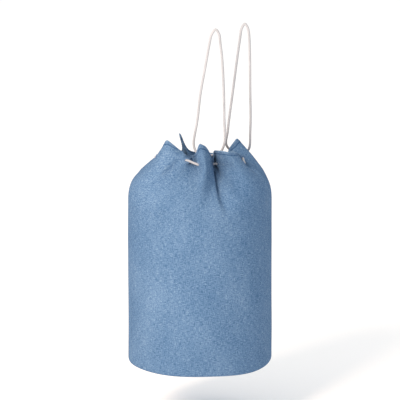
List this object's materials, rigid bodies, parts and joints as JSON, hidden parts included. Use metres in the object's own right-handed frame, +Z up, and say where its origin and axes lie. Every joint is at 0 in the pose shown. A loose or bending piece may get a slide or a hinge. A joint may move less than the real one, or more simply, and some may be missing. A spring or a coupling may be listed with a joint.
{
  "type": "drawstring laundry bag",
  "caption": "Round cloth laundry bag with a flat sewn-in base, gathered at the mouth by a cord threaded through eyelets and drawn up into hanging loops.",
  "frame": {"origin": "point on the level rail that holds the bag up, under the tops of the two cord loops and midway between them", "axes": "+Z up along the bag's height, +X to the side that the loops lean to, -Y towards the front, where the front pleat stands up"},
  "size_m": [0.3, 0.2999, 0.7153],
  "materials": {
    "denim": "heathered plain weave, matt",
    "denim_hem": "doubled plain weave, matt",
    "seam_thread": "overlocked raw edge, matt",
    "eyelet_thread": "buttonhole stitch",
    "cotton_cord": "braided cotton, matt"
  },
  "bodies": {
    "loops": {"cord_loop_left": "cotton_cord", "cord_loop_right": "cotton_cord"},
    "bag": {"side_cloth": "denim", "mouth_hem": "denim_hem", "base_disc": "denim", "base_seam_allowance": "seam_thread", "side_seam_allowance": "seam_thread", "eyelet_01": "eyelet_thread", "eyelet_02": "eyelet_thread", "eyelet_03": "eyelet_thread", "eyelet_04": "eyelet_thread", "eyelet_05": "eyelet_thread", "eyelet_06": "eyelet_thread", "eyelet_07": "eyelet_thread", "eyelet_08": "eyelet_thread", "eyelet_09": "eyelet_thread", "eyelet_10": "eyelet_thread", "eyelet_11": "eyelet_thread", "eyelet_12": "eyelet_thread", "cord_run_left_in": "cotton_cord", "cord_run_left_out": "cotton_cord", "cord_run_right_in": "cotton_cord", "cord_run_right_out": "cotton_cord", "drawcord_front": "cotton_cord", "drawcord_back": "cotton_cord", "drawcord_side": "cotton_cord", "cord_knot": "cotton_cord", "cord_tail_1": "cotton_cord", "cord_tail_2": "cotton_cord"}
  },
  "joints": [
    {"name": "bag_swing", "type": "hinge", "parent": "loops", "child": "bag", "pos_m": [-0.0635, -0.01725, -0.259], "axis": [1, 0, 0], "range_deg": [-20, 20], "deforming": ["cord_run_left_in", "cord_run_left_out", "cord_run_right_in", "cord_run_right_out"]}
  ]
}
